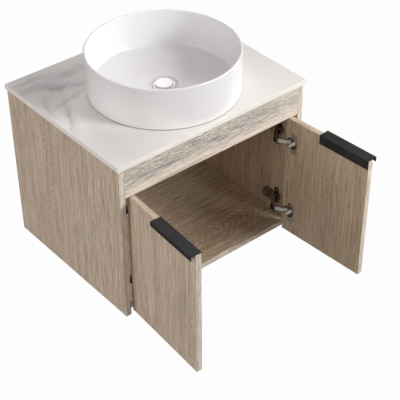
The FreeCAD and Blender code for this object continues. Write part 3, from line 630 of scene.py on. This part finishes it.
def drain_body(finishes):
    """The threaded tube with its flange, and the spider that guides the plug's stem. Heights are above the
    slab in millimetres; the flange has the second finish."""
    mesh = bmesh.new()
    outline = rounded([(18.5, 9.5, 0.4), (18.5, -70, 0.3), (22, -70, 0.4), (22, 8, 0), (29, 8, 0.3),
                       (29, 9.5, 0.7)])
    wall = threaded_wall(22, -69.5, -19, DRAIN_PITCH, DRAIN_GROOVE)
    lathe(mesh, with_wall(outline, wall), ON_SLAB, 96, thread(DRAIN_PITCH))
    spider = Matrix.Translation(ON_SLAB + Vector((0, 0, -0.014)))
    arm_place = Matrix.Translation((0.0122, 0, 0)) @ Matrix.Diagonal((0.0126, 0.008, 0.008, 1))
    for turn in (0, pi):
        arm = bmesh.ops.create_cube(mesh, size=1)["verts"]
        bmesh.ops.transform(mesh, verts=arm, matrix=spider @ Matrix.Rotation(turn, 4, "Z") @ arm_place)
    hub = [(4.3, -18, 0.3), (7, -18, 0.5), (7, -10, 0.5), (4.3, -10, 0.3)]
    lathe(mesh, rounded(hub, 3), ON_SLAB, 48)
    for polygon in mesh.faces:
        above = (polygon.calc_center_median().z - TOP_HIGH.z) / MM
        polygon.material_index = 1 if above > FLANGE_FOOT else 0
    piece("drain_threaded_body", mesh, finishes, "drain_body")


def union_nut():
    """The ribbed nut that holds the tailpiece."""
    low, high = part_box("tailpiece_nut")
    mesh = bmesh.new()
    radius = (high.x - low.x) / 2 / MM
    foot, crown = (low.z - TOP_HIGH.z) / MM, (high.z - TOP_HIGH.z) / MM
    lip, plain, ramp, groove = 3.0, 1.5, 2.0, 1.1
    seat = foot + lip
    outline = rounded([(16.0, seat, 0), (16.0, foot, 0.3), (radius, foot, 1.2), (radius, crown, 1.2),
                       (22.05, crown, 0.3), (22.05, seat, 0)], 3)
    grip = [(radius, foot + plain, 0.0), (radius, foot + ramp, groove), (radius, crown - ramp, groove),
            (radius, crown - plain, 0.0)]
    lathe(mesh, with_wall(outline, grip), ON_SLAB, 240, ribs(20))
    piece("tailpiece_union_nut", mesh, [MATERIALS[SLOT_OF["tailpiece_nut"]]], "tailpiece_nut")


def drain():
    """Everything of the drain, down from the glazed plug."""
    chrome = MATERIALS["chrome_drain"]
    glaze = speckled("plug_glaze", (0.93, 0.93, 0.93), (0.92, 0.92, 0.92), 500, 0.16, 0.01,
                     Specular_IOR_Level=1.0, Coat_Weight=1.0, Coat_Roughness=0.08)
    drain_body([chrome, glaze])
    union_nut()
    for node in ("drain_lock_nut", "tailpiece", "plug_stem"):
        piece(node + "_turned", softened(node, FINE_EDGE), [chrome], node)
    low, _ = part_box("plug_cap")
    mesh = bmesh.new()
    cap = [(0, 0, 0), (23.1, 0, 0.3), (23.5, 0.6, 0.3), (23.5, 3.1, 0.9), (21.5, 3.4, 4), (0, 3.4, 0)]
    lathe(mesh, rounded(cap, 6), Vector((AXIS.x, AXIS.y, low.z)), 128)
    piece("plug_cap_glazed", mesh, [glaze], "plug_cap", smooth=radians(40))


# ---------------------------------------------------------------- handles, hinges and fasteners

def islands(mesh):
    """The separate solids of a mesh, each as a set of vertices."""
    left = set(mesh.verts)
    while left:
        found = {left.pop()}
        waiting = list(found)
        while waiting:
            vertex = waiting.pop()
            for edge in vertex.link_edges:
                other = edge.other_vert(vertex)
                if other not in found:
                    found.add(other)
                    waiting.append(other)
        left -= found
        yield found


def measured(solid):
    """A fastener's head: its middle, outward direction, radius and thickness. Then its shank's radius,
    and the whole length."""
    cap = max({face for vertex in solid for face in vertex.link_faces}, key=lambda face: face.calc_area())
    top = sum((vertex.co for vertex in cap.verts), Vector()) / len(cap.verts)
    out = cap.normal.copy()
    levels = {}
    for vertex in solid:
        offset = vertex.co - top
        depth = round(-offset.dot(out), 5)
        reach = (offset - out * offset.dot(out)).length
        levels[depth] = max(levels.get(depth, 0.0), reach)
    depths = sorted(levels)
    return top, out, levels[depths[0]], depths[1], levels[depths[-1]], depths[-1]


SCREW_PITCH = 0.9
SCREW_GROOVE = 0.35
DEEPEST_RECESS = 1.6


def linked(name, mesh):
    """Turn a bmesh into an object for the boolean that cuts a recess."""
    data = bpy.data.meshes.new(name)
    mesh.to_mesh(data)
    mesh.free()
    item = bpy.data.objects.new(name, data)
    bpy.context.scene.collection.objects.link(item)
    return item


def turned(head, thick, shank, length):
    """A screw without its recess, in millimetres with its head's top at zero. One with no shank is a disc."""
    mesh = bmesh.new()
    if length - thick > 0.5:
        outline = [(0.0, 0.0, 0.0), (head * 0.6, -thick * 0.06, 0.0), (head * 0.88, -thick * 0.3, 0.0),
                   (head, -thick * 0.72, 0.0), (head, -thick, 0.0)]
        outline += threaded_wall(shank, -thick, -length + 1.0, SCREW_PITCH, SCREW_GROOVE)
        outline += [(0.0, -length, 0.0)]
    else:
        outline = rounded([(0, 0, 0), (head, 0, 0.35), (head, -length, 0.35), (0, -length, 0)], 2)
    lathe(mesh, outline, Vector(), 32, thread(SCREW_PITCH))
    bmesh.ops.scale(mesh, verts=mesh.verts, vec=(1 / MM,) * 3)
    bmesh.ops.recalc_face_normals(mesh, faces=mesh.faces)
    return mesh


def cross(head, recess):
    """The cutter of a cross recess: two crossed bars that narrow downwards."""
    mesh = bmesh.new()
    long, wide, narrowing = head * 1.15, head * 0.26, 0.55
    for turn in (0, pi / 2):
        bar = bmesh.ops.create_cube(mesh, size=1)["verts"]
        place = Matrix.Rotation(turn, 4, "Z") @ Matrix.Diagonal((long, wide, recess * 2, 1))
        bmesh.ops.transform(mesh, verts=bar, matrix=place)
        for vertex in bar:
            if vertex.co.z < 0:
                vertex.co.x *= narrowing
                vertex.co.y *= narrowing
    return mesh


def fastener(head, thick, shank, length, recess):
    """A screw in millimetres with its head's top at zero: a domed head, a cross recess and a thread."""
    solid = linked("fastener", turned(head, thick, shank, length))
    tool = linked("recess", cross(head, recess))
    cut = solid.modifiers.new("recess", "BOOLEAN")
    cut.operation = "DIFFERENCE"
    cut.solver = "EXACT"
    cut.use_self = True
    cut.object = tool
    bpy.context.view_layer.update()
    result = bpy.data.meshes.new_from_object(solid.evaluated_get(bpy.context.evaluated_depsgraph_get()))
    for item in (solid, tool):
        bpy.data.objects.remove(item)
    return result


def fasteners(node, material, slot=None):
    """Give each plain screw of a CAD node its head, cross recess and thread."""
    source = cad_copy(node)
    made = bmesh.new()
    pattern = None
    for solid in islands(source):
        top, out, head, thick, shank, length = measured(solid)
        if pattern is None:
            recess = min(thick / MM * 0.7, DEEPEST_RECESS)
            pattern = fastener(head / MM, thick / MM, shank / MM, length / MM, recess)
        count = len(made.verts)
        made.from_mesh(pattern)
        made.verts.ensure_lookup_table()
        place = Matrix.Translation(top) @ out.to_track_quat("Z", "Y").to_matrix().to_4x4()
        bmesh.ops.transform(made, verts=made.verts[count:], matrix=place @ Matrix.Scale(MM, 4))
    source.free()
    piece(node + "_cut", made, [material], node, slot=slot)


def hardware():
    """Handles, hinges and every screw."""
    grip = MATERIALS["black_grip"]
    nickel = MATERIALS["nickel_hinge"]
    # Two copies of the hinges' nickel: a dark one with painted shade for the arms, plates and rear links, and
    # a near-white one with painted highlight for the front links.
    dark = brushed("nickel_painted_shade", (0.30, 0.28, 0.26), (0.22, 0.21, 0.20), 1, 0.24)
    bright = brushed("nickel_painted_highlight", (0.97, 0.96, 0.93), (0.92, 0.90, 0.87), 2, 0.42)
    for name in SIDES:
        handle = f"{name}_handle"
        piece(handle + "_folded", softened(handle, FOLD, 3), [grip], handle)
        fasteners(f"{name}_handle_screws", grip, "black_grip")
        fasteners(f"{name}_cup_screws", nickel)
        for height in ("upper", "lower"):
            for part in ("hinge_arm", "hinge_cup", "mounting_plate"):
                node = f"{name}_{height}_{part}"
                metal = nickel if part == "hinge_cup" else dark
                piece(node + "_pressed", softened(node, FINE_EDGE), [metal], node)
        # The front links take the painted highlight, and the rear links the painted shade.
        for part, metal in (("front_links", bright), ("rear_links", dark)):
            node = f"{name}_{part}"
            piece(node + "_pressed", softened(node, LINK_EDGE), [metal], node)
    fasteners("plate_screws", nickel)
    fasteners("hinge_adjusters", nickel)
    fasteners("cam_locks", MATERIALS["zinc_fitting"])


MATERIALS = {
    "stone_top": stone(),
    "glazed_ceramic": speckled("glazed_ceramic", (0.86, 0.86, 0.86), (0.85, 0.85, 0.852), 500, 0.20, 0.015),
    "black_grip": speckled("black_grip", srgb(46, 47, 48), srgb(37, 37, 38), 2500, 0.52, 0.3,
                           Specular_IOR_Level=0.25),
    "nickel_hinge": brushed("nickel_hinge", (0.66, 0.64, 0.61), (0.52, 0.50, 0.48), 1, 0.20),
    "zinc_fitting": brushed("zinc_fitting", (0.72, 0.72, 0.73), (0.58, 0.58, 0.60), 2, 0.4),
    "chrome_drain": brushed("chrome_drain", (0.80, 0.80, 0.81), (0.72, 0.72, 0.74), 2, 0.12),
    "black_rubber": speckled("black_rubber", (0.03, 0.03, 0.03), (0.02, 0.02, 0.02), 900, 0.7, 0.2),
    # Near black: partly the sealant's colour, partly painted shade for the line under the basin.
    "sealant": speckled("sealant", (0.10, 0.10, 0.10), (0.08, 0.08, 0.08), 300, 0.6, 0.1),
    "white_plastic": speckled("white_plastic", (0.80, 0.80, 0.79), (0.76, 0.76, 0.75), 700, 0.4, 0.1),
    "beech_dowel": laminate("beech_dowel", 0, (1, 1, 1)),
}

camera()
studio()
for node in frame["nodes"]:
    if SLOT_OF[node] in MATERIALS:
        paint(node, MATERIALS[SLOT_OF[node]])
cabinet()
top()
basin()
seals()
drain()
hardware()
